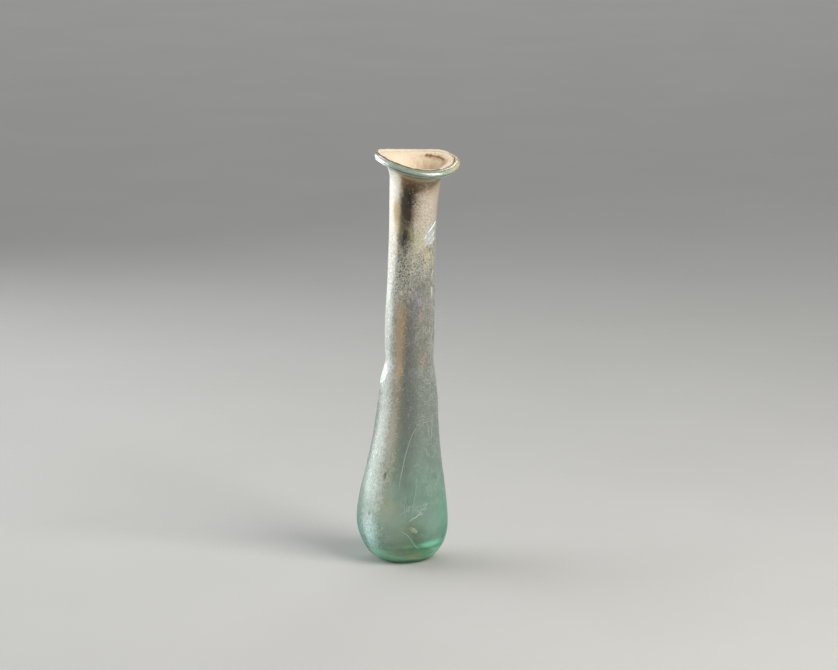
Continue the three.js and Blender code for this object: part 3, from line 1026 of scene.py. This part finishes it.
def drawLines(name, lines, finish, surface):  # rods that follow the surface from spot to spot
    points, edges, thickness = [], [], []
    for thick, spots in lines:
        path = smoothPath(spots)
        for i, (turn, height) in enumerate(path):
            part = drawing["taperStart"] + drawing["taperSpan"] * i / (len(path) - 1)
            points.append(spotOutside(surface, turn, height))
            thickness.append(thick * math.sin(math.pi * part) * mm)
            if i:
                edges.append((len(points) - 2, len(points) - 1))
    mesh = bpy.data.meshes.new(name)
    mesh.from_pydata(points, edges, [])
    attribute = mesh.attributes.new("thick", "FLOAT", "POINT")
    attribute.data.foreach_set("value", thickness)
    source = bpy.data.objects.new(name + "Paths", mesh)
    scene.collection.objects.link(source)
    rods = meshFrom(source, hairlines, {"Thickness": 1.0, "Sides": drawing["rodSides"], "Finish": finish})
    bpy.data.objects.remove(source)
    return addPiece(name, rods)


# A leaf-like shape is scratched into the front of the body, with its midrib and stalk, and a short
# fan of strokes beside it; other strokes stand alone. Each line has its thickness and its spots.
leafLines = [
    (0.075, [(18, 38.1), (11, 36.2), (5.3, 33.7), (0.5, 30.5), (-2.8, 26.9), (-4.9, 24.4), (-5.7, 22.2)]),
    (0.035, [(-5, 18.6), (-2, 17.8), (1, 17.2), (0.7, 16.1)]),
    (0.06, [(28, 39), (36, 39.2), (42, 37.4), (45, 35)]),
    (0.06, [(18.9, 24.5), (18, 21.8), (16.2, 19.4), (13.7, 17.4), (8.5, 16.4), (2.8, 15.4), (-2.8, 14.8)]),
    (0.05, [(4.6, 19.8), (3, 18), (2.6, 16.6)]),
    (0.065, [(-2.8, 10.2), (1.8, 9.9), (6.5, 9.1), (11, 7.8), (14.9, 6.4), (19, 5.4), (23.2, 4.6)]),
    (0.05, [(53, 40.8), (52, 38), (50.2, 36), (49, 34.1)]),
    (0.04, [(-21, 31.5), (-19.5, 30), (-19, 29)]),
]
brightLines = [
    (0.07, [(27.4, 15.1), (24, 14.5), (21, 14.8), (18, 13.9), (15.1, 13.9), (11.5, 13.3), (8.6, 13)]),
    (0.045, [(22, 14.6), (24, 15.4), (27, 15)]),
    (0.19, [(72, 93.2), (60, 92.3), (49, 91.4), (41, 90.6)]),
    (0.09, [(38, 90.2), (33, 89.4), (29, 88.9)]),
    (0.08, [(68, 90.6), (60, 89.9), (55, 89.5)]),
    (0.07, [(50, 89.4), (45, 88.8), (41, 88.5)]),
    (0.08, [(70, 89), (64, 88.5), (60, 88.2)]),
    (0.06, [(54, 88), (49, 87.5), (45, 87.3)]),
    (0.06, [(41, 88), (37, 87.7), (33, 87)]),
    (0.05, [(62, 87), (57, 86.5), (54, 86.4)]),
    (0.06, [(63, 80.2), (60, 78.6), (61, 77)]),
    (0.10, [(60.6, 75.6), (60.2, 74.2), (60.6, 73)]),
    (0.07, [(-54, 31.8), (-53, 31), (-53.4, 30.2)]),
]
strokes = {
    "seed": 7, "fanCount": 46, "fanLength": (0.5, 2.0), "fanThickness": (0.035, 0.065),
    "dashCount": 22, "dashLength": (0.5, 1.7), "dashThickness": (0.04, 0.07), "dashHeight": (18.6, 22.6),
    "turnPerMm": 4.7,
}


def stroke(thickness, turn, height, aside, rise):  # a straight line as drawLines takes it
    return thickness, [(turn + aside * part, height + rise * part) for part in (0.0, 0.5, 1.0)]


def fanStrokes():  # fine strokes that spread from the leaf's midrib, and upright dashes above them
    drawn = random.Random(strokes["seed"])
    lines = []
    for part in climb(0.0, 1.0, strokes["fanCount"] - 1):
        slope = math.radians(mix(96, 22, part) + drawn.uniform(-14, 14))
        turn = mix(3, 31, part) + drawn.uniform(-2, 2)
        height = mix(14.2, 15.6, part) + drawn.uniform(0.0, 1.6)
        length = drawn.uniform(*strokes["fanLength"])
        aside = math.cos(slope) * length * strokes["turnPerMm"]
        lines.append(stroke(drawn.uniform(*strokes["fanThickness"]), turn, height, aside,
                            math.sin(slope) * length))
    for turn in climb(33, 58, strokes["dashCount"] - 1):
        height = drawn.uniform(*strokes["dashHeight"])
        lean, length = drawn.uniform(-0.9, 0.9), drawn.uniform(*strokes["dashLength"])
        lines.append(stroke(drawn.uniform(*strokes["dashThickness"]), turn, height, lean, length))
    return lines


leafScratches = drawLines("leafScratches", leafLines + fanStrokes(), plain["scratchPale"], skinSurface)
whiteScratches = drawLines("whiteScratches", brightLines, plain["scratchWhite"], skinSurface)
print("stage: scratches drawn")


# Bubbles in the glass, crumbs on the cavity's floor and soil on the cream. The lengths are in
# millimetres.
bitLengths = {
    "airBubbles": {"Spacing": 0.9, "Smallest": 0.04, "Largest": 0.19, "Lift": -0.6, "Lumpiness": 0.0},
    "floorCrumbs": {"Spacing": 0.16, "Smallest": 0.08, "Largest": 0.3, "Lift": 0.02, "Lumpiness": 0.12},
    "mouthSoil": {"Spacing": 0.25, "Smallest": 0.04, "Largest": 0.13, "Lift": 0.0, "Lumpiness": 0.08},
}
bitLooks = {
    "airBubbles": {"Density": 4.0e4, "Seed": 3, "Stretch": (1.0, 1.5, 1.0), "Finish": trappedAir},
    "floorCrumbs": {"Density": 3.0e6, "Seed": 5, "Stretch": (1.0, 1.0, 0.6), "Finish": plain["crumbStraw"]},
    "mouthSoil": {"Density": 2.0e6, "Seed": 9, "Stretch": (1.4, 1.0, 0.5), "Finish": plain["crumbSoil"]},
}
bitShape = {"Fineness": 3, "Lump Size": 0.4 * mm}


def scatterOver(name, carrier, weightOf):  # weightOf gives how likely a point carries a bit
    mesh = carrier.data.copy()
    weight = mesh.attributes.new("weight", "FLOAT", "POINT")
    lathe = mesh.attributes["lathePlace"]
    for i, vertex in enumerate(mesh.vertices):
        x, y, z = [part / mm for part in lathe.data[i].vector]
        facing = vertex.normal.dot(Vector((x, y, 0.0)))
        weight.data[i].value = weightOf(math.degrees(math.atan2(x, -y)), z, facing)
    source = bpy.data.objects.new(name + "Ground", mesh)
    scene.collection.objects.link(source)
    lengths = {label: length * mm for label, length in bitLengths[name].items()}
    bits = meshFrom(source, scatterBits, lengths | bitLooks[name] | bitShape)
    bpy.data.objects.remove(source)
    return addPiece(name, bits)


def nearTo(value, centre, half):
    return max(0.0, 1.0 - abs(value - centre) / half)


def bubbleWeight(turn, height, facing):
    return 1.0 if facing > 0 and 3 < height < 104 else 0.0


def crumbWeight(turn, height, facing):  # crumbs gather in drifts on the floor of the cavity
    if facing > 0:
        return 0.0
    drifts = max(0.0, noise.noise(Vector((turn / 14, height * 0.9, 4.0))) - 0.08) * 2.5
    return nearTo(height, 2.6, 3.4) * drifts


def soilWeight(turn, height, facing):
    return nearTo(turn, 138, 26) * nearTo(height, 109.15, 0.45) if facing <= 0 else 0.0


airBubbles = scatterOver("airBubbles", glass, bubbleWeight)
floorCrumbs = scatterOver("floorCrumbs", film, crumbWeight)
mouthSoil = scatterOver("mouthSoil", cream, soilWeight)
print("stage: bubbles and crumbs scattered")

# A pale lump of residue that sits on the inner wall, low at the front
lumpLook = {"turn": 16.0, "height": 10.2, "size": (1.4, 0.5, 0.52), "tilt": -38.0}


def makeResidueLump():
    mesh = bpy.data.meshes.new("residueLump")
    work = bmesh.new()
    bmesh.ops.create_icosphere(work, subdivisions=4, radius=1.0)
    facing = outward(lumpLook["turn"])
    middle = spotInside(filmSurface, lumpLook["turn"], lumpLook["height"])
    aside = Vector((0.0, 0.0, 1.0)).cross(-facing).normalized()
    tilt = math.radians(lumpLook["tilt"])
    for vertex in work.verts:
        swell = 1.0 + 0.5 * noise.noise(vertex.co * 1.6) + 0.2 * noise.noise(vertex.co * 4.2)
        x, y, z = [part * size * swell for part, size in zip(vertex.co, lumpLook["size"])]
        x, z = x * math.cos(tilt) - z * math.sin(tilt), x * math.sin(tilt) + z * math.cos(tilt)
        vertex.co = middle + (aside * -x - facing * y + Vector((0.0, 0.0, z))) * mm
    work.to_mesh(mesh)
    work.free()
    mesh.shade_smooth()
    mesh.materials.append(plain["lumpPale"])
    return addPiece("residueLump", mesh)


residueLump = makeResidueLump()

pieces = (glass, skin, film, cream, leafScratches, whiteScratches, airBubbles, floorCrumbs, mouthSoil,
          residueLump)
for piece in pieces:
    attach(piece, rootBody)
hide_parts(glassNode)


# The stage: a pale floor that runs back past the view
stageLook = {
    "floorSize": 3.2, "floorDrop": 0.05, "cloudScale": 14.0, "roughness": 0.8,
    "pale": tone(172, 171, 167), "paler": tone(180, 179, 176),
}


def makeFloor():
    half = stageLook["floorSize"]
    mesh = bpy.data.meshes.new("paleFloor")
    corners = [(-half, -half), (half, -half), (half, half), (-half, half)]
    mesh.from_pydata([(x, y, -stageLook["floorDrop"] * mm) for x, y in corners], [], [(0, 1, 2, 3)])
    material, shader = startFinish("paleFloor")
    cloud = noiseOf(objectPlace(), stageLook["cloudScale"], 4.0)
    setShader(shader, color=blendColor(cloud, stageLook["pale"], stageLook["paler"]),
              roughness=stageLook["roughness"])
    mesh.materials.append(material)
    floor = bpy.data.objects.new("paleFloor", mesh)
    scene.collection.objects.link(floor)


makeFloor()

# Soft lights, each with its place from the flask's middle in metres, its size and its watts
lights = {
    "keyRight": {"toward": (0.622, -0.475, 0.6225), "away": 0.55, "size": (0.34, 0.34), "watts": 3.2,
                 "color": (1.0, 0.97, 0.93), "spread": 170.0},
    "fillLeft": {"toward": (-0.921, 0.389, 0.12), "away": 0.45, "size": (0.6, 0.45), "watts": 2.3,
                 "color": (0.95, 0.98, 1.0), "spread": 110.0},
    "farAbove": {"toward": (0.0, 0.72, 0.69), "away": 2.3, "size": (1.8, 1.0), "watts": 16.0,
                 "color": (1.0, 1.0, 1.0), "spread": 180.0, "turnedTo": (0.0, 1.5, 0.0)},
}
lampTarget = Vector((0.002, 0.0, 0.055))


def addLight(name, look):
    lamp = bpy.data.lights.new(name, "AREA")
    lamp.shape = "RECTANGLE"
    lamp.size, lamp.size_y = look["size"]
    lamp.energy = look["watts"]
    lamp.color = look["color"]
    lamp.spread = math.radians(look["spread"])
    holder = bpy.data.objects.new(name, lamp)
    toward = Vector(look["toward"]).normalized()
    holder.location = lampTarget + toward * look["away"]
    target = Vector(look.get("turnedTo", lampTarget))
    holder.rotation_euler = (target - holder.location).to_track_quat("-Z", "Y").to_euler()
    scene.collection.objects.link(holder)


for name, look in lights.items():
    addLight(name, look)

room = {"color": (0.9, 0.95, 1.0, 1.0), "strength": 0.22}
world = bpy.data.worlds.new("softRoom")
world.use_nodes = True
background = world.node_tree.nodes["Background"].inputs
background["Color"].default_value = room["color"]
background["Strength"].default_value = room["strength"]
scene.world = world

# The camera stands where the photograph was taken from, looking slightly down
view = {"lens": 150.0, "sensor": 36.0, "down": 11.313, "distance": 0.94115,
        "target": (0.004291, 0.0, 0.061697)}
camera = bpy.data.cameras.new("camera")
camera.lens, camera.sensor_width = view["lens"], view["sensor"]
cameraHolder = bpy.data.objects.new("camera", camera)
down = math.radians(view["down"])
towardCamera = Vector((0.0, -math.cos(down), math.sin(down)))
cameraHolder.location = Vector(view["target"]) + view["distance"] * towardCamera
cameraHolder.rotation_euler = (math.pi / 2 - down, 0.0, 0.0)
scene.collection.objects.link(cameraHolder)
scene.camera = cameraHolder

scene.view_settings.view_transform = "Standard"
bounces = {"max_bounces": 24, "transmission_bounces": 20, "transparent_max_bounces": 48}
for name, count in bounces.items():
    setattr(scene.cycles, name, count)
print("stage: lights and camera set")
